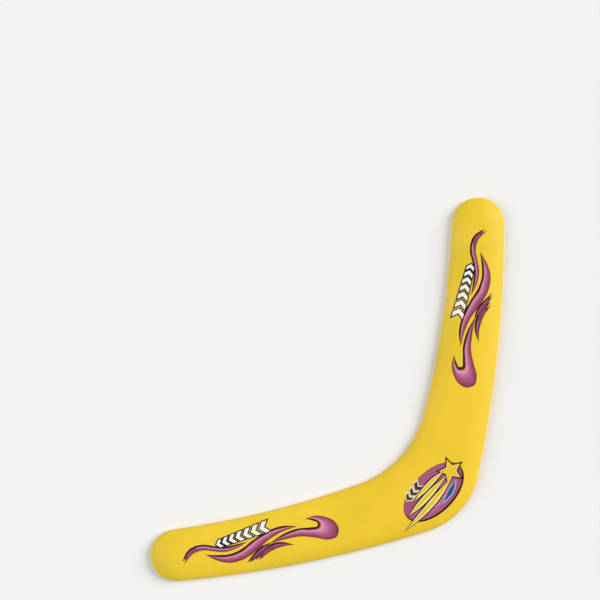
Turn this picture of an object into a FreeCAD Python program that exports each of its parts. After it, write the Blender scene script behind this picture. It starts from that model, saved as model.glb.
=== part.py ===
import FreeCAD, Part
import math
import os

# A throwing boomerang: one moulded shell with an open, ribbed underside, and three printed transfers.
# Millimetres. +X runs from the left tip to the right tip, +Y towards the elbow, +Z up.
# The origin is at the middle of the footprint, on the plane that the rim rests on.

# Plan of the moulded shell
span = 350.0
depth = 144.0
elbow_width = 56.0
tip_radius = 18.0
outer_elbow_radius = 50.5
inner_elbow_radius = 71.0
outer_bow_radius = 830.0
inner_bow_radius = 670.0

# Section of the moulded shell
height = 9.0
shoulder_width = 17.5
shoulder_rise = 6.5
wall = 1.8

# Ribs inside the open underside
rib_thickness = 1.2
rib_clearance = 1.0
spine_inset = 20.0
ribs_per_arm = 6
ejector_pad_radius = 2.4
gate_boss_radius = 5.0
gate_pit_radius = 1.2
gate_pit_depth = 1.5

# Printed transfers
film = 0.15
smallest_island = 0.4
thin_line = 0.5
heavy_line = 1.2
line_point = 1.4

Vector = FreeCAD.Vector
origin = Vector(0, 0, 0)
upright = Vector(0, 0, 1)

# Each lick of the arm's flame: its outer edge and its inner edge, both from root to point.
head_lick = (
    [(76, -4), (70.8, -0.6), (67.2, 4.5), (65.2, 10.5), (66.6, 16.4), (71.5, 19.2),
     (76.6, 16.4), (81.5, 9), (88, 0.6), (97, -6.2), (106, -11.4)],
    [(76, -4), (73.2, -0.2), (72.2, 3.4), (75, 5.8), (79.6, 2.8), (86, -3), (95, -7.8), (106, -11.4)],
)
feather_lick = (
    [(96.5, 0.5), (102, -4.2), (109, -7.6), (119, -9.3)],
    [(96.5, 0.5), (101.4, -6), (108.4, -10.4), (119, -9.3)],
)
feather_barb = (
    [(105, -8.2), (110, -9.6), (114.5, -10.3), (120.5, -11)],
    [(105, -8.2), (109.5, -11.3), (114, -11.9), (120.5, -11)],
)
spark_lick = (
    [(107, -12), (112.5, -11.3), (118.5, -12.4), (126, -14.2)],
    [(107, -12), (112, -13.4), (118, -14), (126, -14.2)],
)
spark_barb = (
    [(109, -11.2), (114, -11.4), (119, -11.9), (124.5, -12.7)],
    [(109, -11.2), (114, -12.3), (119, -12.7), (124.5, -12.7)],
)
long_lick = (
    [(86, -6.5), (94, -11), (104, -14.2), (116, -15.6),
     (127, -18.2), (135, -23.6), (139.3, -30.5), (142, -38.5)],
    [(86, -6.5), (92, -12.2), (101, -17.4), (113, -20.8),
     (124, -22.9), (132, -26.8), (138, -32.6), (142, -38.5)],
)
tail_lick = (
    [(117, -24.5), (125, -27.2), (131.5, -31.2), (136.5, -37.3), (141, -43.2), (147, -46.6), (156, -46.5)],
    [(117, -24.5), (123.8, -27.9), (130, -32.4), (134.6, -38), (138.8, -44.2), (145, -48.6), (156, -46.5)],
)
tail_fork = (
    [(141, -44.6), (146, -47.3), (150, -48.1), (155.5, -48.3)],
    [(141, -44.6), (145.6, -48.9), (150, -49.3), (155.5, -48.3)],
)
flame = [head_lick, feather_lick, feather_barb, spark_lick, spark_barb, long_lick, tail_lick, tail_fork]

# Chevrons beside the flame: a row that gets smaller from the elbow towards the tip.
arm_chevrons = {"start": (98, -20.8), "angle": -27.5, "heights": [7.6, 7.2, 6.8, 6.4, 6.0, 5.6, 5.2]}
chevron_pitch = 0.86
chevron_thickness = 0.46
chevron_lean = 0.42
chevron_line = 0.8

# Badge at the elbow: a shooting star on an oval field, a short row of chevrons and one swoosh.
badge_centre = (3.0, 48.3)
badge_length = 50.0
badge_breadth = 27.6
badge_tilt = -3.0
badge_line = 0.8
badge_line_shift = 0.6
star_centre = (-16, 47.6)
star_radius = 8.4
star_waist = 0.46
star_turn = 8.0
star_points = 5
star_line = 0.9
star_streaks = [
    ([(-13, 51.2), (0, 54.4), (16, 55.2), (36, 52.6)], [(-13, 51.2), (2, 50.8), (18, 51.2), (36, 52.6)]),
    ([(-12, 47.6), (3, 49.5), (15, 49.4), (27, 47.2)], [(-12, 47.6), (3, 45.7), (15, 45.6), (27, 47.2)]),
    ([(-13, 44), (-3, 44.6), (7, 44.4), (17, 43)], [(-13, 44), (-3, 41.5), (7, 41.5), (17, 43)]),
]
badge_chevrons = {"start": (5.2, 38.0), "angle": 3.0, "heights": [6.2, 5.6, 5.0]}
swoosh = (
    [(-13, 55), (-8.5, 57.8), (-3, 59.2), (3.5, 58.8)],
    [(-13, 55), (-7.5, 55.5), (-2, 56.8), (3.5, 58.8)],
)
swoosh_line = 0.5


def lower_meeting(centre_a, radius_a, centre_b, radius_b):
    # The lower of the two points where two circles meet.
    across = centre_b - centre_a
    gap = across.Length
    along = (radius_a ** 2 - radius_b ** 2 + gap ** 2) / (2 * gap)
    aside = math.sqrt(radius_a ** 2 - along ** 2)
    forward = across / gap
    foot = centre_a + forward * along
    sideways = Vector(-forward.y, forward.x, 0) * aside
    return min(foot + sideways, foot - sideways, key=lambda point: point.y)


def heading(start, end):
    return math.atan2(end.y - start.y, end.x - start.x)


tip = Vector(span / 2 - tip_radius, tip_radius - depth / 2, 0)
outer_elbow = Vector(0, depth / 2 - outer_elbow_radius, 0)
inner_elbow = Vector(0, depth / 2 - elbow_width - inner_elbow_radius, 0)
outer_bow = lower_meeting(
    outer_elbow, outer_bow_radius - outer_elbow_radius, tip, outer_bow_radius - tip_radius)
inner_bow = lower_meeting(
    inner_elbow, inner_bow_radius - inner_elbow_radius, tip, inner_bow_radius + tip_radius)
gate = Vector(0, depth / 2 - spine_inset, rib_clearance)
outer_root = heading(outer_bow, outer_elbow)
outer_end = heading(outer_bow, tip)
inner_root = heading(inner_bow, inner_elbow)
inner_end = heading(inner_bow, tip)


def mirrored(arc):
    centre, radius, inward, start, end = arc
    return (Vector(-centre.x, centre.y, 0), radius, inward, math.pi - end, math.pi - start)


# The outline as tangent arcs: centre, radius, way to the material, first and last angle.
right_arcs = [
    (outer_bow, outer_bow_radius, -1, outer_end, outer_root),
    (tip, tip_radius, -1, inner_end - math.pi, outer_end),
    (inner_bow, inner_bow_radius, 1, inner_end, inner_root),
]
elbow_arcs = [
    (outer_elbow, outer_elbow_radius, -1, outer_root, math.pi - outer_root),
    (inner_elbow, inner_elbow_radius, 1, inner_root, math.pi - inner_root),
]
outline_arcs = elbow_arcs + right_arcs + [mirrored(arc) for arc in right_arcs]


def arc_edge(arc, inset):
    centre, radius, inward, start, end = arc
    circle = Part.Circle(centre, upright, radius + inward * inset)
    return Part.Arc(circle, start, end).toShape()


def outline_face(inset):
    edges = [arc_edge(arc, inset) for arc in outline_arcs]
    return Part.Face(Part.Wire(Part.__sortEdges__(edges)))


def shoulder(arc, inset, width, rise, top, base):
    # One stretch of the rounded shoulder: its section turned about the centre of its arc.
    centre, radius, inward, start, end = arc
    edge = radius + inward * inset
    inner = edge + inward * width
    corner = top - rise
    ellipse = Part.Ellipse(Vector(edge, 0, corner), Vector(inner, 0, top), Vector(inner, 0, corner))
    crown = Part.Arc(ellipse, 0, math.pi / 2).toShape()
    straight = Part.makePolygon([
        Vector(inner, 0, top), Vector(inner, 0, base), Vector(edge, 0, base), Vector(edge, 0, corner)])
    section = Part.Face(Part.Wire([crown] + straight.Edges))
    section.rotate(origin, upright, math.degrees(start))
    section.translate(centre)
    return section.revolve(centre, upright, math.degrees(end - start))


def crowned_solid(inset, width, rise, top, base):
    # The whole plan with a rounded shoulder all the way round and a level crown inside it.
    core = outline_face(inset + width)
    core.translate(Vector(0, 0, base))
    core = core.extrude(Vector(0, 0, top - base))
    shoulders = [shoulder(arc, inset, width, rise, top, base) for arc in outline_arcs]
    return core.fuse(shoulders).removeSplitter()


def plate(face, low, high):
    face.translate(Vector(0, 0, low))
    return face.extrude(Vector(0, 0, high - low))


def spine_stretch(arc):
    # The rib that follows the outer edge of the plan at a constant distance.
    near = arc_edge(arc, spine_inset - rib_thickness / 2)
    far = arc_edge(arc, spine_inset + rib_thickness / 2)
    ends = [Part.makeLine(near.Vertexes[i].Point, far.Vertexes[i].Point) for i in (0, 1)]
    return Part.Face(Part.Wire(Part.__sortEdges__([near, far] + ends)))


def cross_rib(centre, radius, angle):
    # A straight rib across the arm, square to the outer edge.
    length = elbow_width + tip_radius
    rib = Part.makeBox(length, rib_thickness, height - rib_clearance,
                       Vector(radius - length, -rib_thickness / 2, rib_clearance))
    rib.rotate(origin, upright, math.degrees(angle))
    rib.translate(centre)
    return rib


def ejector_pad(centre, radius, angle):
    spot = centre + Vector(math.cos(angle), math.sin(angle), 0) * (radius - spine_inset)
    spot.z = rib_clearance
    return Part.makeCylinder(ejector_pad_radius, height - rib_clearance, spot)


def underside_ribs():
    spine_arcs = [elbow_arcs[0], right_arcs[0], mirrored(right_arcs[0])]
    stations = [(outer_elbow, outer_elbow_radius, math.pi / 2)]
    for centre, radius, inward, start, end in spine_arcs[1:]:
        step = (end - start) / ribs_per_arm
        stations += [(centre, radius, start + step * count) for count in range(ribs_per_arm + 1)]
    pieces = [plate(spine_stretch(arc), rib_clearance, height) for arc in spine_arcs]
    pieces += [cross_rib(*station) for station in stations]
    pieces += [ejector_pad(*station) for station in stations]
    pieces.append(Part.makeCylinder(gate_boss_radius, height, gate))
    return pieces[0].fuse(pieces[1:])


def moulded_shell(outside):
    cavity_width = shoulder_width - wall
    cavity_rise = shoulder_rise * cavity_width / shoulder_width
    cavity = crowned_solid(wall, cavity_width, cavity_rise, height - wall, -wall)
    shell = outside.cut(cavity.cut(underside_ribs()))
    pit = Part.makeCylinder(gate_pit_radius, gate_pit_depth, gate)
    return shell.cut(pit).removeSplitter()


def point(pair):
    return Vector(pair[0], pair[1], 0)


def curve_through(pairs):
    curve = Part.BSplineCurve()
    curve.interpolate([point(pair) for pair in pairs])
    return curve.toShape()


def lick_face(edges):
    outer, inner = edges
    return Part.Face(Part.Wire([curve_through(outer), curve_through(inner[::-1])]))


def moved_edge(edge, distance):
    # Every point but the two ends, moved to the left of the way that the edge runs.
    moved = []
    for before, here, after in zip(edge, edge[1:], edge[2:]):
        along = point(after) - point(before)
        aside = Vector(-along.y, along.x, 0).normalize() * distance
        moved.append((here[0] + aside.x, here[1] + aside.y))
    return moved


def moved_end(end, beside_a, beside_b):
    inwards = point(beside_a) + point(beside_b) - point(end) * 2
    away = inwards.normalize() * -line_point
    return (end[0] + away.x, end[1] + away.y)


def line_edges(edges, outer_line, inner_line):
    # A lick's edges moved out by the width of its key line on each side.
    outer, inner = edges
    root = moved_end(outer[0], outer[1], inner[1])
    end = moved_end(outer[-1], outer[-2], inner[-2])
    return ([root] + moved_edge(outer, outer_line) + [end], [root] + moved_edge(inner, -inner_line) + [end])


def columns(faces):
    # Plan faces drawn up through the shell as one solid, with overlaps merged.
    prisms = [face.extrude(Vector(0, 0, height + film)) for face in faces]
    return prisms[0].fuse(prisms[1:]).removeSplitter()


def polygon_face(pairs):
    return Part.Face(Part.makePolygon([point(pair) for pair in pairs + pairs[:1]]))


def grown(face, distance):
    return Part.Face(face.OuterWire.makeOffset2D(distance, 2))


def chevron_face(size):
    # Points towards +X, with its tail's middle at the origin.
    thick = size * chevron_thickness
    lean = size * chevron_lean
    half = size / 2
    return polygon_face([
        (0, half), (thick, half), (thick + lean, 0), (thick, -half), (0, -half), (lean, 0)])


def chevron_row(row):
    faces = []
    offset = 0.0
    for size in row["heights"]:
        face = chevron_face(size)
        face.translate(Vector(offset, 0, 0))
        face.rotate(origin, upright, row["angle"])
        face.translate(point(row["start"]))
        offset += size * chevron_pitch
        faces.append(face)
    return faces


def chevron_columns(row):
    chevrons = columns(chevron_row(row))
    outline = columns([grown(face, chevron_line) for face in chevron_row(row)])
    return chevrons, outline


def badge_oval(growth, shift):
    centre = Vector(badge_centre[0], badge_centre[1] + shift, 0)
    ellipse = Part.Ellipse(centre, badge_length / 2 + growth, badge_breadth / 2 + growth)
    face = Part.Face(Part.Wire(ellipse.toShape()))
    face.rotate(centre, upright, badge_tilt)
    return face


def star_face():
    corners = []
    for count in range(star_points * 2):
        reach = star_radius if count % 2 == 0 else star_radius * star_waist
        angle = math.radians(star_turn) + math.pi * (0.5 + count / star_points)
        corners.append((star_centre[0] + reach * math.cos(angle), star_centre[1] + reach * math.sin(angle)))
    return polygon_face(corners)


def star_columns():
    star = columns([star_face()] + [lick_face(edges) for edges in star_streaks])
    streak_lines = [lick_face(line_edges(edges, star_line, star_line)) for edges in star_streaks]
    return star, columns([grown(star_face(), star_line)] + streak_lines)


def film_over(column, outside):
    # The part of a column that lies on the crown: a skin of even height that backs onto the shell all over.
    lifted = outside.copy()
    lifted.translate(Vector(0, 0, film))
    skin = column.common(lifted).cut(outside)
    return Part.Compound([island for island in skin.Solids if island.Volume > smallest_island * film])


def arm_inks():
    # Inks lie side by side: each one is cut out of those that it is printed over.
    chevrons, chevron_lines = chevron_columns(arm_chevrons)
    licks = columns([lick_face(edges) for edges in flame]).cut(chevron_lines)
    lines = columns([lick_face(line_edges(edges, thin_line, heavy_line)) for edges in flame])
    return {
        "flame_ink": licks,
        "flame_key_line": lines.cut(licks).cut(chevron_lines),
        "chevron_ink": chevrons,
        "chevron_outline": chevron_lines.cut(chevrons),
    }


def badge_inks():
    star, star_lines = star_columns()
    chevrons, chevron_lines = chevron_columns(badge_chevrons)
    chevron_lines = chevron_lines.cut(star_lines)
    blue = columns([lick_face(swoosh)])
    blue_line = columns([lick_face(line_edges(swoosh, swoosh_line, swoosh_line))])
    over_field = star_lines.fuse([chevron_lines, blue_line])
    field = columns([badge_oval(0, 0)])
    rim = columns([badge_oval(badge_line, badge_line_shift)]).cut(field).cut(over_field)
    return {
        "badge_field_ink": field.cut(over_field),
        "badge_key_line": rim.fuse(star_lines.cut(star)),
        "badge_star_ink": star,
        "badge_chevron_ink": chevrons,
        "badge_chevron_outline": chevron_lines.cut(chevrons),
        "badge_swoosh_ink": blue,
        "badge_swoosh_outline": blue_line.cut(blue),
    }


def other_arm(shape):
    return shape.mirror(origin, Vector(1, 0, 0))


def main():
    outside = crowned_solid(0, shoulder_width, shoulder_rise, height, 0)
    nodes = {"moulded_shell": moulded_shell(outside)}
    for name, column in arm_inks().items():
        skin = film_over(column, outside)
        nodes["right_" + name] = skin
        nodes["left_" + name] = other_arm(skin)
    for name, column in badge_inks().items():
        nodes[name] = film_over(column, outside)
    os.makedirs("parts", exist_ok=True)
    for name, shape in nodes.items():
        shape.exportStep("parts/" + name + ".step")
        box = shape.BoundBox
        print(name, len(shape.Solids), "solids", round(shape.Volume, 2), "mm3", "valid", shape.isValid(),
              "z", round(box.ZMin, 2), round(box.ZMax, 2))


main()
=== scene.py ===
import bpy
import math
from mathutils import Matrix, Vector


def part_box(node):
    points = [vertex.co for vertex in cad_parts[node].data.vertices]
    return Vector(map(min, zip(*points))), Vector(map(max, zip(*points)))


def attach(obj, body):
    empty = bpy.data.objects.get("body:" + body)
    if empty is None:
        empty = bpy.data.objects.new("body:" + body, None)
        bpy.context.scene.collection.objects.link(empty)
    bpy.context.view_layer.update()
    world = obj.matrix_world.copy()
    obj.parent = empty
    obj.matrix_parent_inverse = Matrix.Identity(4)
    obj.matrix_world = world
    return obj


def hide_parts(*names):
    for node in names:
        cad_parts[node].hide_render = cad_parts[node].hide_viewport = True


# A yellow throwing boomerang: one moulded polypropylene shell with three transfer prints on its crown.
# Metres, in the frame's own axes: +X to the right tip, +Y to the elbow, +Z up off the floor.

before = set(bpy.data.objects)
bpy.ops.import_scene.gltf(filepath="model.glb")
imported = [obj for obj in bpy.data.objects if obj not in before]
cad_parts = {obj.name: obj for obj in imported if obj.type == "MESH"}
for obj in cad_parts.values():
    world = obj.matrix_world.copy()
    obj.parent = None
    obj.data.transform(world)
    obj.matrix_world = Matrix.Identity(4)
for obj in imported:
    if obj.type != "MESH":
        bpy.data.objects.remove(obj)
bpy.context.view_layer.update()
mm = 0.001
sameSpot = 0.005 * mm

shellLow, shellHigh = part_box("moulded_shell")
span = shellHigh.x - shellLow.x
depth = shellHigh.y - shellLow.y
crownTop = shellHigh.z
print("frame loaded:", len(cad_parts), "nodes")


def selectOnly(*pieces):
    # With nothing named it clears the selection, as it must be before a primitive is added.
    bpy.ops.object.select_all(action="DESELECT")
    for piece in pieces:
        piece.select_set(True)
    if pieces:
        bpy.context.view_layer.objects.active = pieces[0]


def editMode(selectAll=False):
    bpy.ops.object.mode_set(mode="EDIT")
    bpy.ops.mesh.select_all(action="SELECT" if selectAll else "DESELECT")


def objectMode():
    bpy.ops.object.mode_set(mode="OBJECT")


def pick(piece, test, parts="VERT"):
    # Select the vertices that pass the test, the edges whose ends both do, or the faces whose middle does.
    # It leaves the piece in edit mode, for the step that follows.
    editMode()
    bpy.ops.mesh.select_mode(type=parts)
    objectMode()
    mesh = piece.data
    if parts == "VERT":
        for vertex in mesh.vertices:
            vertex.select = test(vertex.co)
    if parts == "EDGE":
        for edge in mesh.edges:
            ends = [mesh.vertices[index].co for index in edge.vertices]
            edge.select = test(ends[0]) and test(ends[1])
    if parts == "FACE":
        for face in mesh.polygons:
            face.select = test(face.center)
    bpy.ops.object.mode_set(mode="EDIT")


def addModifier(piece, kind, **settings):
    modifier = piece.modifiers.new(kind.title(), kind)
    for name, value in settings.items():
        setattr(modifier, name, value)
    bpy.context.view_layer.objects.active = piece
    bpy.ops.object.modifier_apply(modifier=modifier.name)


def mirrorAcross(piece):
    # Adds the other half, across the plane between the two arms.
    addModifier(piece, "MIRROR", use_axis=(True, False, False), use_mirror_merge=True,
                merge_threshold=2 * sameSpot)


def mergeAndFaceOut(piece):
    bpy.context.view_layer.objects.active = piece
    editMode(selectAll=True)
    bpy.ops.mesh.remove_doubles(threshold=sameSpot)
    bpy.ops.mesh.normals_make_consistent(inside=False)
    objectMode()


def smoothOver(piece, degrees):
    selectOnly(piece)
    bpy.ops.object.shade_smooth_by_angle(angle=math.radians(degrees))


def rename(piece, name):
    piece.name = name
    piece.data.name = name


def joinPieces(name, pieces):
    selectOnly(*pieces)
    if len(pieces) > 1:
        bpy.ops.object.join()
    rename(pieces[0], name)
    return pieces[0]


# Plan of the shell: tangent arcs about five centres. The left half is a mirror of the right.
shellPlan = {
    "elbowWidth": 56.0 * mm,
    "tipRadius": 18.0 * mm,
    "outerElbowRadius": 50.5 * mm,
    "innerElbowRadius": 71.0 * mm,
    "outerBowRadius": 830.0 * mm,
    "innerBowRadius": 670.0 * mm,
}


def bowCentre(centreA, reachA, centreB, reachB):
    # The lower point that lies at reachA from one centre and at reachB from the other.
    across = centreB - centreA
    along = (reachA ** 2 - reachB ** 2 + across.length ** 2) / (2 * across.length)
    aside = math.sqrt(reachA ** 2 - along ** 2)
    forward = across.normalized()
    foot = centreA + forward * along
    sideways = Vector((-forward.y, forward.x, 0)) * aside
    return min(foot + sideways, foot - sideways, key=lambda spot: spot.y)


def heading(start, end):
    return math.atan2(end.y - start.y, end.x - start.x)


def onArc(arc, radius, angle):
    # The spot at this angle about the arc's centre, at a radius of the arc's own or another.
    return arc["centre"] + Vector((math.cos(angle), math.sin(angle), 0)) * radius


def planArcs(plan):
    tip = Vector((span / 2 - plan["tipRadius"], plan["tipRadius"] - depth / 2, 0))
    outerElbow = Vector((0, depth / 2 - plan["outerElbowRadius"], 0))
    innerElbow = Vector((0, depth / 2 - plan["elbowWidth"] - plan["innerElbowRadius"], 0))
    outerBow = bowCentre(outerElbow, plan["outerBowRadius"] - plan["outerElbowRadius"],
                         tip, plan["outerBowRadius"] - plan["tipRadius"])
    innerBow = bowCentre(innerElbow, plan["innerBowRadius"] - plan["innerElbowRadius"],
                         tip, plan["innerBowRadius"] + plan["tipRadius"])
    outerRoot = heading(outerBow, outerElbow)
    outerEnd = heading(outerBow, tip)
    innerEnd = heading(innerBow, tip)
    innerRoot = heading(innerBow, innerElbow)
    # In the order that a walk along the edge meets them, each with its first and its last angle.
    walk = [
        ("outerElbow", outerElbow, math.pi / 2, outerRoot),
        ("outerBow", outerBow, outerRoot, outerEnd),
        ("tip", tip, outerEnd, innerEnd - math.pi),
        ("innerBow", innerBow, innerEnd, innerRoot),
        ("innerElbow", innerElbow, innerRoot, math.pi / 2),
    ]
    return {name: {"centre": centre, "radius": plan[name + "Radius"], "first": first, "last": last}
            for name, centre, first, last in walk}


arcs = planArcs(shellPlan)


def edgeInset(x, y):
    # How far a spot of the plan lies inside the outline.
    spot = Vector((abs(x), y, 0))
    insets = []
    for name, arc in arcs.items():
        angle = heading(arc["centre"], spot)
        if min(arc["first"], arc["last"]) <= angle <= max(arc["first"], arc["last"]):
            inset = arc["radius"] - (spot - arc["centre"]).length
            insets.append(-inset if name.startswith("inner") else inset)
    return min(insets) if insets else -1.0


# Section of the shell, the same all along its edge.
shellSection = {
    "shoulderWidth": 17.5 * mm,   # the crown rounds over this far in from the edge
    "shoulderRise": 6.5 * mm,
    "wall": 1.8 * mm,
    "rimRound": 0.35 * mm,
    "shoulderSteps": 18,
    "rimSteps": 4,
    "stepsAlong": {"outerElbow": 16, "outerBow": 54, "tip": 36, "innerBow": 54, "innerElbow": 16},
    "crownCuts": 9,
    "smoothBelow": 32,            # degrees
}


def quarter(steps):
    return [math.pi / 2 * count / steps for count in range(steps + 1)]


def shoulderLine(width, rise, inset, top):
    # A quarter ellipse from the outline's side up to the level crown.
    low = top - rise
    return [(inset + width - width * math.cos(angle), low + rise * math.sin(angle))
            for angle in quarter(shellSection["shoulderSteps"])]


def cavityShoulder():
    wall = shellSection["wall"]
    width = shellSection["shoulderWidth"] - wall
    rise = shellSection["shoulderRise"] * width / shellSection["shoulderWidth"]
    return width, rise, wall, crownTop - wall


def sectionLine():
    # Inset and height along the shell's section, from the crown over the rim into the cavity.
    wall = shellSection["wall"]
    rimRound = shellSection["rimRound"]
    outside = shoulderLine(shellSection["shoulderWidth"], shellSection["shoulderRise"], 0, crownTop)
    rimOut = [(rimRound - rimRound * math.cos(angle), rimRound - rimRound * math.sin(angle))
              for angle in quarter(shellSection["rimSteps"])]
    rimIn = [(wall - rimRound + rimRound * math.sin(angle), rimRound - rimRound * math.cos(angle))
             for angle in quarter(shellSection["rimSteps"])]
    inside = shoulderLine(*cavityShoulder())
    return outside[::-1] + rimOut + rimIn + inside


def ceilingHeight(inset):
    width, rise, wall, top = cavityShoulder()
    reach = min(max(inset - wall, 0), width)
    return top - rise + rise * math.sqrt(1 - (1 - reach / width) ** 2)


def drawLine(points):
    # One vertex drawn out along the points, as the start of a spun or extruded shape.
    bpy.ops.mesh.primitive_plane_add(size=mm, location=points[0])
    line = bpy.context.object
    bpy.ops.object.transform_apply(location=True, rotation=True, scale=True)
    editMode(selectAll=True)
    bpy.ops.mesh.merge(type="CENTER")
    for here, there in zip(points, points[1:]):
        bpy.ops.mesh.extrude_vertices_move(TRANSFORM_OT_translate={"value": there - here})
    objectMode()
    return line


def spinAlong(arcNames):
    # A positive angle about +Z turns clockwise, as the outer edge does on its way to the tip.
    for name in arcNames:
        arc = arcs[name]
        bpy.ops.mesh.spin(steps=shellSection["stepsAlong"][name], angle=arc["first"] - arc["last"],
                          center=arc["centre"], axis=(0, 0, 1))


def makeShellBody():
    selectOnly()
    elbowApex = depth / 2
    body = drawLine([Vector((0, elbowApex - inset, height)) for inset, height in sectionLine()])
    editMode(selectAll=True)
    spinAlong(arcs)
    objectMode()
    # Bridge the crown and the ceiling, each from the arm's outer side to its inner side. The small round
    # end that is left at the tip is filled once the other half is on.
    tip = arcs["tip"]
    middle = (tip["first"] + tip["last"]) / 2
    halfTurn = abs(tip["first"] - tip["last"]) / 2
    outward = Vector((math.cos(middle), math.sin(middle), 0))
    lastRung = (tip["radius"] - shellSection["shoulderWidth"]) * math.cos(
        halfTurn * (1 - 1 / shellSection["stepsAlong"]["tip"]))
    for level in (crownTop, crownTop - shellSection["wall"]):
        pick(body, lambda spot: abs(spot.z - level) < sameSpot
             and (spot - tip["centre"]).dot(outward) < lastRung, "EDGE")
        bpy.ops.mesh.bridge_edge_loops(number_cuts=shellSection["crownCuts"], interpolation="LINEAR")
        objectMode()
    mirrorAcross(body)
    editMode(selectAll=True)
    bpy.ops.mesh.fill_holes(sides=0)
    mergeAndFaceOut(body)
    return body


# Ribs, ejector pads and the gate boss, in the open underside.
undersideRibs = {
    "thickness": 1.2 * mm,
    "clearance": 1.0 * mm,        # the ribs stop this far above the floor
    "spineInset": 20.0 * mm,
    "ribsPerArm": 6,
    "padRadius": 2.4 * mm,
    "bossRadius": 5.0 * mm,
    "pitRadius": 1.2 * mm,
    "pitDepth": 1.5 * mm,
    "rooting": 0.6 * mm,          # how far each rib runs into the wall that it stands on
    "edgeBevel": 0.25 * mm,
    "stepsAcross": 26,
    "padSides": 32,
}


def ribTop(x, y):
    return ceilingHeight(edgeInset(x, y)) + undersideRibs["rooting"]


def stations():
    # Where a cross rib meets the spine: which arc it stands across, and at what angle.
    bow = arcs["outerBow"]
    steps = undersideRibs["ribsPerArm"]
    spots = [("outerElbow", math.pi / 2)]
    for count in range(steps + 1):
        spots.append(("outerBow", bow["last"] + (bow["first"] - bow["last"]) * count / steps))
    return spots


def ribEnds(arc, angle):
    # From inside the outer edge's wall, square across the arm, to inside the inner edge's wall.
    inWall = shellSection["wall"] - undersideRibs["rooting"]
    outer = arc["radius"] - inWall
    reach = undersideRibs["spineInset"]
    while edgeInset(*onArc(arc, outer - reach, angle).xy) > inWall:
        reach += sameSpot
    return onArc(arc, outer, angle), onArc(arc, outer - reach, angle)


def makeCrossRib(start, end):
    selectOnly()
    bpy.ops.mesh.primitive_grid_add(
        x_subdivisions=undersideRibs["stepsAcross"], y_subdivisions=1, size=1)
    rib = bpy.context.object
    for vertex in rib.data.vertices:
        spot = start.lerp(end, vertex.co.x + 0.5)
        spot.z = undersideRibs["clearance"] if vertex.co.y < 0 else ribTop(spot.x, spot.y)
        vertex.co = spot
    addModifier(rib, "SOLIDIFY", thickness=undersideRibs["thickness"], offset=0)
    return rib


def makePad(x, y, radius):
    # A pin standing down from the ceiling, with its lower edge eased.
    low = undersideRibs["clearance"]
    high = ribTop(x, y)
    selectOnly()
    bpy.ops.mesh.primitive_cylinder_add(vertices=undersideRibs["padSides"], radius=radius,
                                        depth=high - low, location=(x, y, (high + low) / 2))
    pad = bpy.context.object
    bpy.ops.object.transform_apply(location=True, rotation=True, scale=True)
    pick(pad, lambda spot: spot.z < low + sameSpot, "FACE")
    bpy.ops.mesh.inset(thickness=undersideRibs["edgeBevel"])
    objectMode()
    pick(pad, lambda spot: abs(spot.z - low) < sameSpot and
         Vector((spot.x - x, spot.y - y)).length > radius - sameSpot)
    bpy.ops.transform.translate(value=(0, 0, undersideRibs["edgeBevel"]))
    objectMode()
    return pad


def makeSpine():
    # The rib that follows the outer edge, spun from the elbow's middle to the tip and mirrored.
    low = undersideRibs["clearance"]
    high = crownTop - shellSection["wall"] + undersideRibs["rooting"]
    selectOnly()
    bpy.ops.mesh.primitive_plane_add(
        size=1, location=(0, depth / 2 - undersideRibs["spineInset"], (low + high) / 2),
        rotation=(0, math.pi / 2, 0))
    spine = bpy.context.object
    spine.scale = (high - low, undersideRibs["thickness"], 1)
    bpy.ops.object.transform_apply(location=True, rotation=True, scale=True)
    editMode(selectAll=True)
    spinAlong(["outerElbow", "outerBow"])
    objectMode()
    pick(spine, lambda spot: abs(spot.x) < sameSpot, "FACE")
    bpy.ops.mesh.delete(type="ONLY_FACE")
    objectMode()
    mirrorAcross(spine)
    return spine


def makeRibs():
    pieces = [makeSpine()]
    inset = undersideRibs["spineInset"]
    for name, angle in stations():
        arc = arcs[name]
        start, end = ribEnds(arc, angle)
        pad = onArc(arc, arc["radius"] - inset, angle)
        onBothArms = name == "outerBow"
        for side in ((1, -1) if onBothArms else (1,)):
            turned = Vector((side, 1, 1))
            pieces.append(makeCrossRib(start * turned, end * turned))
            if onBothArms:
                pieces.append(makePad(pad.x * side, pad.y, undersideRibs["padRadius"]))
    pieces.append(makePad(0, depth / 2 - inset, undersideRibs["bossRadius"]))
    for piece in pieces:
        mergeAndFaceOut(piece)
    return joinPieces("ribs", pieces)


def makeGatePit():
    # The round pit that a trimmed sprue leaves, sunk into the boss and the ribs that meet in it.
    selectOnly()
    bpy.ops.mesh.primitive_cylinder_add(
        vertices=undersideRibs["padSides"], radius=undersideRibs["pitRadius"],
        depth=2 * undersideRibs["pitDepth"],
        location=(0, depth / 2 - undersideRibs["spineInset"], undersideRibs["clearance"]))
    return bpy.context.object


def makeShell():
    body = makeShellBody()
    ribs = makeRibs()
    pit = makeGatePit()
    addModifier(body, "BOOLEAN", operation="UNION", object=ribs, solver="EXACT", use_self=True)
    addModifier(body, "BOOLEAN", operation="DIFFERENCE", object=pit, solver="EXACT")
    bpy.data.objects.remove(ribs)
    bpy.data.objects.remove(pit)
    mergeAndFaceOut(body)
    rename(body, "mouldedShell")
    smoothOver(body, shellSection["smoothBelow"])
    return body


shell = makeShell()
print("shell:", len(shell.data.polygons), "faces")


# Transfer prints: thin films of ink, each laid between two edge lines and dropped onto the crown.
inkLayers = {
    "keyLine": 0.05 * mm,         # height of each ink's face above the crown
    "artwork": 0.09 * mm,
    "outline": 0.13 * mm,
    "topInk": 0.17 * mm,
    "rooting": 0.02 * mm,         # how far the underside of each film dips into the shell
    "dropFrom": 30.0 * mm,
}


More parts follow.
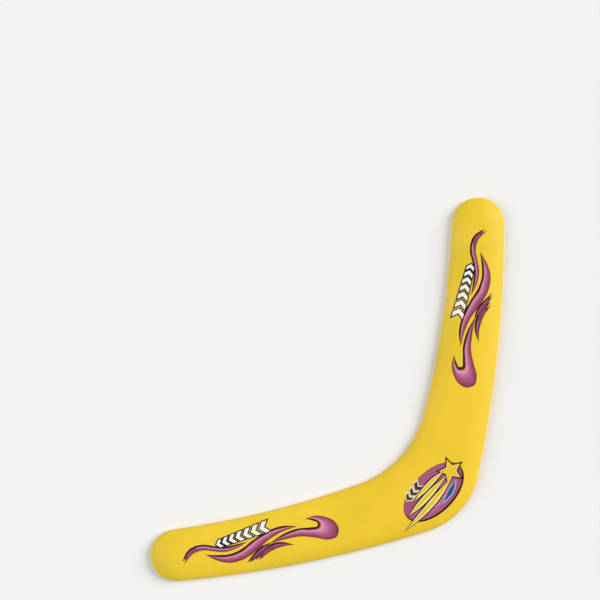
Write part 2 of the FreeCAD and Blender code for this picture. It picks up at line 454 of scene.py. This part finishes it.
def smoothEdge(points):
    # A curve through the points; its place runs from 0 at the first to 1 at the last.
    spots = [Vector(point) * mm for point in points]
    spots = [spots[0] * 2 - spots[1]] + spots + [spots[-1] * 2 - spots[-2]]

    def slope(before, here, after, gap):
        # The curve's heading at the middle one of three spots, over a stretch of this length.
        came = (here - before).length
        goes = (after - here).length
        return ((here - before) / came - (after - before) / (came + goes) + (after - here) / goes) * gap

    def at(place):
        reach = place * (len(points) - 1)
        index = min(int(reach), len(points) - 2)
        share = reach - index
        before, start, end, after = spots[index:index + 4]
        gap = (end - start).length
        towards = 3 * share ** 2 - 2 * share ** 3
        leaving = slope(before, start, end, gap) * (share ** 3 - 2 * share ** 2 + share)
        arriving = slope(start, end, after, gap) * (share ** 3 - share ** 2)
        return start * (1 - towards) + end * towards + leaving + arriving
    return at


def straightEdge(points):
    spots = [Vector(point) * mm for point in points]

    def at(place):
        reach = place * (len(spots) - 1)
        index = min(int(reach), len(spots) - 2)
        return spots[index].lerp(spots[index + 1], reach - index)
    return at


def pairedEdge(edge, pairs):
    # Slides the places along an edge so that each of its points meets its pair on the other edge.
    def at(place):
        reach = place * pairs[-1]
        index = max(count for count in range(len(pairs) - 1) if pairs[count] <= reach)
        share = (reach - pairs[index]) / (pairs[index + 1] - pairs[index])
        return edge((index + share) / (len(pairs) - 1))
    return at


def layStrip(outerEdge, innerEdge, steps, layer, shadeAt=None):
    # A grid whose rows run from the outer edge to the inner edge. Its UV keeps the place along and
    # across, and inkShade says how far the ink goes over to its shaded colour there.
    along, across = steps
    selectOnly()
    bpy.ops.mesh.primitive_grid_add(x_subdivisions=along, y_subdivisions=across, size=1)
    strip = bpy.context.object
    shading = strip.data.attributes.new("inkShade", "FLOAT", "POINT")
    for vertex in strip.data.vertices:
        place = min(max(vertex.co.x + 0.5, 0), 1)
        crossing = vertex.co.y + 0.5
        spot = outerEdge(place).lerp(innerEdge(place), crossing)
        vertex.co = (spot.x, spot.y, inkLayers["dropFrom"])
        if shadeAt:
            shading.data[vertex.index].value = shadeAt(place, crossing)
    mergeAndFaceOut(strip)
    if strip.data.polygons[len(strip.data.polygons) // 2].normal.z < 0:
        editMode(selectAll=True)
        bpy.ops.mesh.flip_normals()
        objectMode()
    height = inkLayers[layer]
    addModifier(strip, "SHRINKWRAP", target=shell, wrap_method="PROJECT", use_project_z=True,
                use_negative_direction=True, use_positive_direction=False, wrap_mode="ABOVE_SURFACE",
                offset=height)
    addModifier(strip, "SOLIDIFY", thickness=height + inkLayers["rooting"], offset=-1)
    return strip


def mirroredCopy(piece, name):
    selectOnly(piece)
    bpy.ops.object.duplicate()
    copied = bpy.context.object
    rename(copied, name)
    editMode(selectAll=True)
    bpy.ops.transform.resize(value=(-1, 1, 1), center_override=(0, 0, 0))
    bpy.ops.mesh.flip_normals()
    objectMode()
    return copied


def movedEdge(points, distance):
    # Every point but the two ends, moved to the left of the way that the edge runs.
    moved = []
    for before, here, after in zip(points, points[1:], points[2:]):
        along = (Vector(after) - Vector(before)).normalized()
        moved.append(tuple(Vector(here) + Vector((-along.y, along.x)) * distance))
    return moved


def lineEdges(edges, outerLine, innerLine, linePoint):
    # A lick's two edges moved out by the width of its key line, and its ends drawn out to a finer point.
    outer, inner = edges
    ends = []
    for end, besideA, besideB in ((0, outer[1], inner[1]), (-1, outer[-2], inner[-2])):
        tip = Vector(outer[end])
        away = (tip * 2 - Vector(besideA) - Vector(besideB)).normalized() * linePoint
        ends.append(tuple(tip + away))
    return ([ends[0]] + movedEdge(outer, outerLine) + [ends[1]],
            [ends[0]] + movedEdge(inner, -innerLine) + [ends[1]])


def layLick(edges, pairs, steps, layer, shadeAt=None):
    outer, inner = edges
    innerEdge = smoothEdge(inner)
    if pairs:
        innerEdge = pairedEdge(innerEdge, pairs)
    return layStrip(smoothEdge(outer), innerEdge, steps, layer, shadeAt)


# Millimetres on the right arm: each lick's outer edge and inner edge, both from root to point. Where
# there are pairs, they say which point of the outer edge each inner point lies across from. The shade
# is how far the whole lick goes over to its ink's shaded colour.
armFlame = {
    "head": {
        "edges": ([(76, -4), (70.8, -0.6), (67.2, 4.5), (65.2, 10.5), (66.6, 16.4), (71.5, 19.2),
                   (76.6, 16.4), (81.5, 9), (88, 0.6), (97, -6.2), (106, -11.4)],
                  [(76, -4), (73.2, -0.2), (72.2, 3.4), (75, 5.8), (79.6, 2.8), (86, -3), (95, -7.8),
                   (106, -11.4)]),
        "pairs": [0, 1.2, 2.6, 5, 7, 8, 9, 10],
        "steps": (110, 10),
        "shade": 0.0,
    },
    "feather": {
        "edges": ([(96.5, 0.5), (102, -4.2), (109, -7.6), (119, -9.3)],
                  [(96.5, 0.5), (101.4, -6), (108.4, -10.4), (119, -9.3)]),
        "pairs": None,
        "steps": (30, 5),
        "shade": 0.55,
    },
    "featherBarb": {
        "edges": ([(105, -8.2), (110, -9.6), (114.5, -10.3), (120.5, -11)],
                  [(105, -8.2), (109.5, -11.3), (114, -11.9), (120.5, -11)]),
        "pairs": None,
        "steps": (24, 4),
        "shade": 0.8,
    },
    "spark": {
        "edges": ([(107, -12), (112.5, -11.3), (118.5, -12.4), (126, -14.2)],
                  [(107, -12), (112, -13.4), (118, -14), (126, -14.2)]),
        "pairs": None,
        "steps": (24, 4),
        "shade": 0.6,
    },
    "sparkBarb": {
        "edges": ([(109, -11.2), (114, -11.4), (119, -11.9), (124.5, -12.7)],
                  [(109, -11.2), (114, -12.3), (119, -12.7), (124.5, -12.7)]),
        "pairs": None,
        "steps": (24, 3),
        "shade": 0.8,
    },
    "long": {
        "edges": ([(86, -6.5), (94, -11), (104, -14.2), (116, -15.6), (127, -18.2), (135, -23.6),
                   (139.3, -30.5), (142, -38.5)],
                  [(86, -6.5), (92, -12.2), (101, -17.4), (113, -20.8), (124, -22.9), (132, -26.8),
                   (138, -32.6), (142, -38.5)]),
        "pairs": None,
        "steps": (84, 8),
        "shade": 0.1,
    },
    "tail": {
        "edges": ([(117, -24.5), (125, -27.2), (131.5, -31.2), (136.5, -37.3), (141, -43.2),
                   (147, -46.6), (156, -46.5)],
                  [(117, -24.5), (123.8, -27.9), (130, -32.4), (134.6, -38), (138.8, -44.2),
                   (145, -48.6), (156, -46.5)]),
        "pairs": None,
        "steps": (64, 6),
        "shade": 0.0,
    },
    "tailFork": {
        "edges": ([(141, -44.6), (146, -47.3), (150, -48.1), (155.5, -48.3)],
                  [(141, -44.6), (145.6, -48.9), (150, -49.3), (155.5, -48.3)]),
        "pairs": None,
        "steps": (24, 4),
        "shade": 0.6,
    },
}

flameLine = {"outer": 0.5, "inner": 1.2, "point": 1.4}   # millimetres of dark line beside each lick
lickPoint = {"darkensFrom": 0.8, "darkening": 0.6}       # shares of its length and of the shaded colour


def lickShading(shade):
    # Darker over the last stretch before the point, and by the lick's own share everywhere.
    def at(place, crossing):
        towardsPoint = max((place - lickPoint["darkensFrom"]) / (1 - lickPoint["darkensFrom"]), 0)
        return min(shade + lickPoint["darkening"] * towardsPoint, 1)
    return at


def makeFlame():
    inks = []
    lines = []
    for lick in armFlame.values():
        shading = lickShading(lick["shade"])
        inks.append(layLick(lick["edges"], lick["pairs"], lick["steps"], "artwork", shading))
        wider = lineEdges(lick["edges"], flameLine["outer"], flameLine["inner"], flameLine["point"])
        lines.append(layLick(wider, lick["pairs"], lick["steps"], "keyLine"))
    return joinPieces("flameInk", inks), joinPieces("flameKeyLine", lines)


# Chevrons beside the flame and on the badge: rows of arrowheads, shaped in shares of each one's height.
# Starts, heights and the outline's width are in millimetres.
chevronShape = {"pitch": 0.86, "thickness": 0.46, "lean": 0.42, "line": 0.8, "steps": (16, 5)}
armChevrons = {"start": (98, -20.8), "angle": -27.5, "heights": [7.6, 7.2, 6.8, 6.4, 6.0, 5.6, 5.2]}
badgeChevrons = {"start": (5.2, 38.0), "angle": 3, "heights": [6.2, 5.6, 5.0]}


def grownCorners(corners, distance):
    # The corners of a closed outline, clockwise, with every side moved out by the distance.
    grown = []
    for count, here in enumerate(corners):
        before = corners[count - 1]
        after = corners[(count + 1) % len(corners)]
        sides = [(here - before).normalized(), (after - here).normalized()]
        outward = [Vector((-side.y, side.x)) for side in sides]
        mitre = (outward[0] + outward[1]).normalized()
        grown.append(here + mitre * distance / mitre.dot(outward[0]))
    return grown


def chevronEdges(row, index, growth):
    # The back and the front of one chevron, each from its upper end over the middle to its lower end.
    size = row["heights"][index]
    thick, lean, half = size * chevronShape["thickness"], size * chevronShape["lean"], size / 2
    corners = [Vector(pair) for pair in (
        (0, half), (thick, half), (thick + lean, 0), (thick, -half), (0, -half), (lean, 0))]
    corners = grownCorners(corners, growth)
    offset = sum(row["heights"][:index]) * chevronShape["pitch"]
    turn = math.radians(row["angle"])
    placed = []
    for corner in corners:
        x, y = corner.x + offset, corner.y
        placed.append((row["start"][0] + x * math.cos(turn) - y * math.sin(turn),
                       row["start"][1] + x * math.sin(turn) + y * math.cos(turn)))
    topBack, topFront, point, lowFront, lowBack, notch = placed
    return straightEdge([topBack, notch, lowBack]), straightEdge([topFront, point, lowFront])


def makeChevrons(name, row):
    inks = []
    outlines = []
    steps = chevronShape["steps"]
    for index in range(len(row["heights"])):
        inks.append(layStrip(*chevronEdges(row, index, 0), steps, "topInk"))
        outlines.append(layStrip(*chevronEdges(row, index, chevronShape["line"]), steps, "outline"))
    return joinPieces(name + "Ink", inks), joinPieces(name + "Outline", outlines)


# Badge on the elbow: an oval field with a shooting star, a short row of chevrons and one swoosh, in
# millimetres and degrees.
badge = {
    "centre": (3.0, 48.3),
    "length": 50.0,
    "breadth": 27.6,
    "tilt": -3,
    "rim": 0.8,
    "rimShift": 0.6,
    "fieldSteps": (96, 28),
    "rimSteps": (144, 2),
    "starCentre": (-16, 47.6),
    "starRadius": 8.4,
    "starWaist": 0.46,
    "starTurn": 8,
    "starPoints": 5,
    "starSteps": (16, 8),
    "line": 0.9,
    "linePoint": 1.4,
    "streaks": [
        ([(-13, 51.2), (0, 54.4), (16, 55.2), (36, 52.6)],
         [(-13, 51.2), (2, 50.8), (18, 51.2), (36, 52.6)]),
        ([(-12, 47.6), (3, 49.5), (15, 49.4), (27, 47.2)],
         [(-12, 47.6), (3, 45.7), (15, 45.6), (27, 47.2)]),
        ([(-13, 44), (-3, 44.6), (7, 44.4), (17, 43)],
         [(-13, 44), (-3, 41.5), (7, 41.5), (17, 43)]),
    ],
    "streakSteps": (48, 6),
    "swoosh": ([(-13, 55), (-8.5, 57.8), (-3, 59.2), (3.5, 58.8)],
               [(-13, 55), (-7.5, 55.5), (-2, 56.8), (3.5, 58.8)]),
    "swooshLine": 0.5,
    "swooshSteps": (28, 5),
}


def ovalEdge(growth, shift, first, last):
    # Part of the badge's outline, from one angle to another.
    tilt = math.radians(badge["tilt"])

    def at(place):
        angle = first + (last - first) * place
        x = (badge["length"] / 2 + growth) * math.cos(angle)
        y = (badge["breadth"] / 2 + growth) * math.sin(angle)
        return Vector((badge["centre"][0] + x * math.cos(tilt) - y * math.sin(tilt),
                       badge["centre"][1] + shift + x * math.sin(tilt) + y * math.cos(tilt))) * mm
    return at


def starEdges(index, growth):
    # One kite of the star: from its point to the middle, split between the two waists beside it.
    centre = Vector(badge["starCentre"])
    corners = []
    for count in range(badge["starPoints"] * 2):
        reach = badge["starRadius"] * (badge["starWaist"] if count % 2 else 1)
        angle = math.radians(badge["starTurn"]) + math.pi * (0.5 - count / badge["starPoints"])
        corners.append(centre + Vector((math.cos(angle), math.sin(angle))) * reach)
    corners = grownCorners(corners, growth)
    point, left, right = corners[index * 2], corners[index * 2 - 1], corners[index * 2 + 1]
    return straightEdge([point, left, centre]), straightEdge([point, right, centre])


def starShading(place, crossing):
    # Pale along the star's outline, the first half of each kite's two edges, and plain inside it.
    fromEdge = min(crossing, 1 - crossing)
    return 0.0 if place <= 0.5 and fromEdge < 0.01 else 1.0


def makeStar(growth, layer):
    kites = []
    for index in range(badge["starPoints"]):
        kites.append(layStrip(*starEdges(index, growth), badge["starSteps"], layer, starShading))
    return joinPieces("star", kites)


def makeBadge():
    upperHalf = ovalEdge(0, 0, math.pi, 0)
    lowerHalf = ovalEdge(0, 0, -math.pi, 0)
    field = layStrip(upperHalf, lowerHalf, badge["fieldSteps"], "artwork")
    rimOutside = ovalEdge(badge["rim"], badge["rimShift"], 0, math.tau)
    rimInside = ovalEdge(-badge["rim"], 0, 0, math.tau)
    rim = layStrip(rimOutside, rimInside, badge["rimSteps"], "keyLine")
    stars = [makeStar(0, "topInk")]
    lines = [rim, makeStar(badge["line"], "outline")]
    for streak in badge["streaks"]:
        stars.append(layLick(streak, None, badge["streakSteps"], "topInk"))
        wider = lineEdges(streak, badge["line"], badge["line"], badge["linePoint"])
        lines.append(layLick(wider, None, badge["streakSteps"], "outline"))
    swooshLine = badge["swooshLine"]
    swooshWider = lineEdges(badge["swoosh"], swooshLine, swooshLine, badge["linePoint"])
    return {
        "badgeFieldInk": joinPieces("badgeFieldInk", [field]),
        "badgeKeyLine": joinPieces("badgeKeyLine", lines),
        "badgeStarInk": joinPieces("badgeStarInk", stars),
        "badgeSwooshInk": joinPieces("badgeSwooshInk", [
            layLick(badge["swoosh"], None, badge["swooshSteps"], "topInk")]),
        "badgeSwooshOutline": joinPieces("badgeSwooshOutline", [
            layLick(swooshWider, None, badge["swooshSteps"], "outline")]),
    }


flameInk, flameKeyLine = makeFlame()
armChevronInk, armChevronOutline = makeChevrons("chevron", armChevrons)
badgePieces = makeBadge()
badgeChevronInk, badgeChevronOutline = makeChevrons("badgeChevron", badgeChevrons)
print("prints laid on the crown")


def linearColour(hexCode):
    channels = [int(hexCode[start:start + 2], 16) / 255 for start in (1, 3, 5)]
    linear = [value / 12.92 if value <= 0.04045 else ((value + 0.055) / 1.055) ** 2.4
              for value in channels]
    return (*linear, 1.0)


def perMetre(size):
    # The scale of a pattern on Object coordinates whose features are this many millimetres across.
    return 1 / (size * mm)


def addNode(material, kind, settings=None, links=None, **choices):
    node = material.node_tree.nodes.new(kind)
    for name, value in choices.items():
        if name == "stops":
            ramp = node.color_ramp
            while len(ramp.elements) < len(value):
                ramp.elements.new(1.0)
            for element, (place, colour) in zip(ramp.elements, value):
                element.position = place
                element.color = linearColour(colour)
        else:
            setattr(node, name, value)
    for socket, value in (settings or {}).items():
        node.inputs[socket].default_value = value
    for socket, output in (links or {}).items():
        material.node_tree.links.new(output, node.inputs[socket])
    return node


def startMaterial(name, settings):
    material = bpy.data.materials.new(name)
    material.use_nodes = True
    shader = material.node_tree.nodes["Principled BSDF"]
    for socket, value in settings.items():
        shader.inputs[socket].default_value = value
    return material, shader


def joinTo(material, shader, links):
    for socket, output in links.items():
        material.node_tree.links.new(output, shader.inputs[socket])


shellFinish = {
    "colours": [(0.30, "#DFC024"), (0.50, "#E7C52B"), (0.70, "#EFC832")],
    "gateColour": "#F0C22A",      # a touch warmer where the melt came in
    "gateReach": 170.0,           # millimetres over which that warmth dies away
    "gateShare": 0.4,
    "flowSize": 46.0,
    "grainSize": 0.9,             # drawn three times as coarse as the mould's real grain, to show at all
    "grainDepth": 0.02,
    "waveSize": 22.0,             # slow unevenness of a thin moulded wall
    "waveDepth": 0.6,
    "scuffSize": 7.0,
    "roughness": (0.42, 0.54),
}


def makeShellFinish():
    # Injection-moulded polypropylene: milky yellow, softly glossy, with faint flow clouds where the melt
    # slowed and a gloss that light handling has scuffed unevenly.
    finish = shellFinish
    material, shader = startMaterial("mouldedYellowPolypropylene", {
        "IOR": 1.49, "Specular IOR Level": 0.28,
        "Subsurface Weight": 0.06, "Subsurface Scale": 2.0 * mm})
    place = addNode(material, "ShaderNodeTexCoord").outputs["Object"]
    flow = addNode(material, "ShaderNodeTexNoise", {
        "Scale": perMetre(finish["flowSize"]), "Detail": 3.0, "Roughness": 0.45, "Distortion": 0.6},
        {"Vector": place})
    clouds = addNode(material, "ShaderNodeValToRGB", links={"Fac": flow.outputs["Fac"]},
                     stops=finish["colours"])
    gate = (0, depth / 2 - undersideRibs["spineInset"], crownTop)
    reach = addNode(material, "ShaderNodeVectorMath", {1: gate}, {0: place}, operation="DISTANCE")
    warmth = addNode(material, "ShaderNodeMapRange", {
        "From Max": finish["gateReach"] * mm, "To Min": finish["gateShare"], "To Max": 0.0},
        {"Value": reach.outputs["Value"]}, interpolation_type="SMOOTHSTEP")
    colour = addNode(material, "ShaderNodeMix", {7: linearColour(finish["gateColour"])},
                     {0: warmth.outputs["Result"], 6: clouds.outputs["Color"]}, data_type="RGBA")
    scuff = addNode(material, "ShaderNodeTexNoise", {
        "Scale": perMetre(finish["scuffSize"]), "Detail": 8.0, "Roughness": 0.7, "Distortion": 1.2},
        {"Vector": place})
    smoothest, roughest = finish["roughness"]
    gloss = addNode(material, "ShaderNodeMapRange", {
        "From Min": 0.35, "From Max": 0.7, "To Min": smoothest, "To Max": roughest},
        {"Value": scuff.outputs["Fac"]})
    grain = addNode(material, "ShaderNodeTexNoise", {
        "Scale": perMetre(finish["grainSize"]), "Detail": 2.0}, {"Vector": place})
    grainBump = addNode(material, "ShaderNodeBump", {
        "Strength": 0.12, "Distance": finish["grainDepth"] * mm}, {"Height": grain.outputs["Fac"]})
    wave = addNode(material, "ShaderNodeTexNoise", {
        "Scale": perMetre(finish["waveSize"]), "Detail": 1.0}, {"Vector": place})
    waveBump = addNode(material, "ShaderNodeBump", {
        "Strength": 0.35, "Distance": finish["waveDepth"] * mm},
        {"Height": wave.outputs["Fac"], "Normal": grainBump.outputs["Normal"]})
    joinTo(material, shader, {
        "Base Color": colour.outputs[2], "Roughness": gloss.outputs["Result"],
        "Normal": waveBump.outputs["Normal"]})
    return material


# Each ink: its colours across the strip from the outer edge to the inner edge, what it goes over to
# where it is shaded, if it is, and how strongly the screen's mottle shows.
inkFinishes = {
    "purpleTransferInk": {
        "across": [(0.0, "#74284A"), (0.12, "#8E3A60"), (0.40, "#A65076"), (0.64, "#BE708E"),
                   (0.82, "#DE94AC"), (0.90, "#C47884"), (0.96, "#743048"), (1.0, "#3A1420")],
        "shaded": "#6A2448",
        "mottle": 0.14,
        "specular": 0.3,
    },
    "maroonKeyInk": {
        "across": [(0.0, "#8A4428"), (0.30, "#5E2420"), (0.6, "#3C1216"), (1.0, "#260A0E")],
        "mottle": 0.08,
        "specular": 0.2,
    },
    "badgeLineInk": {
        "across": [(0.0, "#1A0A0E"), (0.5, "#2A1014"), (1.0, "#1A0A0E")],
        "shaded": "#1A0A0E",
        "mottle": 0.08,
        "specular": 0.2,
    },
    "whiteTransferInk": {
        "across": [(0.0, "#DCD0CC"), (0.25, "#F0EAE4"), (1.0, "#F4F0EA")],
        "mottle": 0.05,
        "specular": 0.3,
    },
    "blackOutlineInk": {
        "across": [(0.0, "#1E1212"), (0.5, "#100A0C"), (1.0, "#0E080A")],
        "mottle": 0.08,
        "specular": 0.2,
    },
    "yellowTransferInk": {
        "across": [(0.0, "#F6EBC6"), (0.16, "#F0DC78"), (0.34, "#E6C22C"), (0.62, "#DEB41C"),
                   (0.86, "#EED25A"), (1.0, "#F6EBC6")],
        "shaded": "#E4BE26",
        "mottle": 0.10,
        "specular": 0.3,
    },
    "charcoalTransferInk": {
        "across": [(0.0, "#120C0D"), (0.5, "#43342F"), (1.0, "#1C1414")],
        "mottle": 0.12,
        "specular": 0.25,
    },
    "creamOutlineInk": {
        "across": [(0.0, "#E4D4A8"), (0.5, "#EEE2BE"), (1.0, "#D4BE82")],
        "mottle": 0.08,
        "specular": 0.3,
    },
    "blueTransferInk": {
        "across": [(0.0, "#2C6F9C"), (0.45, "#174F7C"), (1.0, "#0F3A60")],
        "mottle": 0.12,
        "specular": 0.3,
    },
    "paleBlueOutlineInk": {
        "across": [(0.0, "#B9D6E6"), (0.5, "#9CC2DA"), (1.0, "#86AECB")],
        "mottle": 0.08,
        "specular": 0.3,
    },
}

inkFilm = {
    "screenDot": 0.7,             # millimetres between specks, twice as coarse as a real screen, to show
    "colourWander": 9.0,          # millimetres over which an ink's bands drift across its strip
    "colourDrift": 0.25,          # how far they drift, as a share of the strip's width
    "roughness": (0.44, 0.56),
    "relief": 0.02,               # millimetres
    "smoothBelow": 40,            # degrees
}


def printInk(material, shader, coords, colour, mottle):
    # What every ink has: its screen's specks in the colour, and again in the gloss and the relief.
    smoothest, roughest = inkFilm["roughness"]
    specks = addNode(material, "ShaderNodeTexNoise", {
        "Scale": perMetre(inkFilm["screenDot"]), "Detail": 1.0}, {"Vector": coords.outputs["Object"]})
    speckle = addNode(material, "ShaderNodeMapRange", {
        "From Min": 0.3, "From Max": 0.7, "To Min": 1 - mottle, "To Max": 1 + mottle},
        {"Value": specks.outputs["Fac"]})
    printed = addNode(material, "ShaderNodeVectorMath", links={0: colour, 1: speckle.outputs["Result"]},
                      operation="MULTIPLY")
    gloss = addNode(material, "ShaderNodeMapRange", {"To Min": smoothest, "To Max": roughest},
                    {"Value": specks.outputs["Fac"]})
    bump = addNode(material, "ShaderNodeBump", {
        "Strength": 0.15, "Distance": inkFilm["relief"] * mm}, {"Height": specks.outputs["Fac"]})
    joinTo(material, shader, {
        "Base Color": printed.outputs["Vector"], "Roughness": gloss.outputs["Result"],
        "Normal": bump.outputs["Normal"]})
    return material


def makeInk(name):
    # Heat-transfer ink: a smooth opaque film with a soft gloss, faintly mottled by its screen.
    finish = inkFinishes[name]
    material, shader = startMaterial(name, {"IOR": 1.5, "Specular IOR Level": finish["specular"]})
    coords = addNode(material, "ShaderNodeTexCoord")
    parts = addNode(material, "ShaderNodeSeparateXYZ", links={"Vector": coords.outputs["UV"]})
    wander = addNode(material, "ShaderNodeTexNoise", {
        "Scale": perMetre(inkFilm["colourWander"]), "Detail": 2.0}, {"Vector": coords.outputs["Object"]})
    drift = addNode(material, "ShaderNodeMath", {1: 0.5}, {0: wander.outputs["Fac"]},
                    operation="SUBTRACT")
    across = addNode(material, "ShaderNodeMath", {1: inkFilm["colourDrift"]},
                     {0: drift.outputs["Value"], 2: parts.outputs["Y"]}, operation="MULTIPLY_ADD")
    blend = addNode(material, "ShaderNodeValToRGB", links={"Fac": across.outputs["Value"]},
                    stops=finish["across"])
    colour = blend.outputs["Color"]
    if "shaded" in finish:
        shade = addNode(material, "ShaderNodeAttribute", attribute_name="inkShade")
        shaded = addNode(material, "ShaderNodeMix", {7: linearColour(finish["shaded"])},
                         {0: shade.outputs["Fac"], 6: colour}, data_type="RGBA")
        colour = shaded.outputs[2]
    return printInk(material, shader, coords, colour, finish["mottle"])


badgeFinish = {
    "colours": [(0.0, "#D6A6B8"), (0.23, "#C27A98"), (0.42, "#AC567C"), (0.62, "#9C466A"),
                (0.95, "#A25276")],
    "lightSpot": (6.0, 52.5),     # millimetres: the middle of the lighter patch
    "reach": (39.0, 15.6),        # how far the patch fades out, along and across the badge
    "mottle": 0.18,
}


def makeBadgeFieldInk():
    # The flames' transfer ink, airbrushed from a pale lilac patch to deep purple at the rim.
    finish = badgeFinish
    material, shader = startMaterial("purpleBadgeInk", {"IOR": 1.5, "Specular IOR Level": 0.3})
    coords = addNode(material, "ShaderNodeTexCoord")
    centre = [value * mm for value in finish["lightSpot"]]
    centred = addNode(material, "ShaderNodeMapping", {
        "Location": (*centre, 0), "Scale": (finish["reach"][0] * mm, finish["reach"][1] * mm, 1)},
        {"Vector": coords.outputs["Object"]}, vector_type="TEXTURE")
    flatten = addNode(material, "ShaderNodeVectorMath", {1: (1, 1, 0)}, {0: centred.outputs["Vector"]},
                      operation="MULTIPLY")
    reach = addNode(material, "ShaderNodeVectorMath", links={0: flatten.outputs["Vector"]},
                    operation="LENGTH")
    blend = addNode(material, "ShaderNodeValToRGB", links={"Fac": reach.outputs["Value"]},
                    stops=finish["colours"])
    return printInk(material, shader, coords, blend.outputs["Color"], finish["mottle"])


def fitOut(piece, material, slot, *nodes):
    piece.data.materials.clear()
    piece.data.materials.append(material)
    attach(piece, "root")
    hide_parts(*nodes)


inks = {name: makeInk(name) for name in inkFinishes}
inks["purpleBadgeInk"] = makeBadgeFieldInk()
fitOut(shell, makeShellFinish(), "yellow_shell", "moulded_shell")

armPrints = [
    (flameInk, "purpleTransferInk", "purple_ink", "flame_ink"),
    (flameKeyLine, "maroonKeyInk", "dark_ink", "flame_key_line"),
    (armChevronInk, "whiteTransferInk", "white_ink", "chevron_ink"),
    (armChevronOutline, "blackOutlineInk", "dark_ink", "chevron_outline"),
]
for rightPrint, ink, slot, node in armPrints:
    name = rightPrint.name
    smoothOver(rightPrint, inkFilm["smoothBelow"])
    leftPrint = mirroredCopy(rightPrint, name + "Left")
    rename(rightPrint, name + "Right")
    fitOut(rightPrint, inks[ink], slot, "right_" + node)
    fitOut(leftPrint, inks[ink], slot, "left_" + node)

badgePrints = [
    (badgePieces["badgeFieldInk"], "purpleBadgeInk", "purple_ink", "badge_field_ink"),
    (badgePieces["badgeKeyLine"], "badgeLineInk", "dark_ink", "badge_key_line"),
    (badgePieces["badgeStarInk"], "yellowTransferInk", "yellow_ink", "badge_star_ink"),
    (badgePieces["badgeSwooshInk"], "blueTransferInk", "blue_ink", "badge_swoosh_ink"),
    (badgePieces["badgeSwooshOutline"], "paleBlueOutlineInk", "pale_blue_ink", "badge_swoosh_outline"),
    (badgeChevronInk, "charcoalTransferInk", "dark_ink", "badge_chevron_ink"),
    (badgeChevronOutline, "creamOutlineInk", "white_ink", "badge_chevron_outline"),
]
for badgePrint, ink, slot, node in badgePrints:
    smoothOver(badgePrint, inkFilm["smoothBelow"])
    fitOut(badgePrint, inks[ink], slot, node)
print("materials on")


# Studio: a pale floor, two broad soft lamps and an even room.
studio = {
    "floorSize": 60.0,            # metres, so that its far edge is out of sight
    "floorColours": [(0.4, "#EBEAE8"), (0.6, "#EDECEA")],
    "cloudSize": 40.0,            # millimetres
    "keyFrom": (-0.74, 0.38, 0.56),    # the way from the boomerang to the lamp
    "keySpread": 40.0,            # degrees across the lamp, as the boomerang sees it
    "keyStrength": 2.6,
    "fillFrom": (0.62, -0.52, 0.58),
    "fillSpread": 50.0,
    "fillStrength": 1.4,
    "roomColour": "#F4F6FA",
    "roomStrength": 0.38,
}


def makeFloor():
    selectOnly()
    bpy.ops.mesh.primitive_plane_add(size=studio["floorSize"])
    floor = bpy.context.object
    floor.name = "floor"
    material, shader = startMaterial("mattPaperSweep", {"Roughness": 0.9, "Specular IOR Level": 0.0})
    place = addNode(material, "ShaderNodeTexCoord").outputs["Object"]
    clouds = addNode(material, "ShaderNodeTexNoise", {
        "Scale": perMetre(studio["cloudSize"]), "Detail": 4.0}, {"Vector": place})
    tone = addNode(material, "ShaderNodeValToRGB", links={"Fac": clouds.outputs["Fac"]},
                   stops=studio["floorColours"])
    joinTo(material, shader, {"Base Color": tone.outputs["Color"]})
    floor.data.materials.append(material)


def makeLight(name):
    # A far-off lamp, so that the floor is lit the same all over.
    spot = Vector(studio[name + "From"])
    bpy.ops.object.light_add(type="SUN", location=spot, rotation=spot.to_track_quat("Z", "Y").to_euler())
    light = bpy.context.object
    light.name = name + "Light"
    light.data.angle = math.radians(studio[name + "Spread"])
    light.data.energy = studio[name + "Strength"]


def makeRoom():
    world = bpy.data.worlds.new("studioRoom")
    world.use_nodes = True
    background = world.node_tree.nodes["Background"]
    background.inputs["Color"].default_value = linearColour(studio["roomColour"])
    background.inputs["Strength"].default_value = studio["roomStrength"]
    bpy.context.scene.world = world
    bpy.context.scene.view_settings.view_transform = "Standard"


# The camera looks straight down from far off, with the boomerang low and right in its frame: the elbow
# to the lower right, one arm up and the other to the left.
lookDown = {
    "height": 1.6,
    "centre": (-33.4, -110.3),    # millimetres from the boomerang's middle
    "widthShown": 418.5,
    "turn": 132.26,               # degrees
    "sensor": 36.0,
}


def makeCamera():
    x, y = [value * mm for value in lookDown["centre"]]
    distance = lookDown["height"] - crownTop
    bpy.ops.object.camera_add(location=(x, y, lookDown["height"]),
                              rotation=(0, 0, math.radians(lookDown["turn"])))
    camera = bpy.context.object
    camera.name = "studioCamera"
    camera.data.sensor_width = lookDown["sensor"]
    camera.data.lens = lookDown["sensor"] * distance / (lookDown["widthShown"] * mm)
    bpy.context.scene.camera = camera


makeFloor()
makeLight("key")
makeLight("fill")
makeRoom()
makeCamera()

print("studio set")
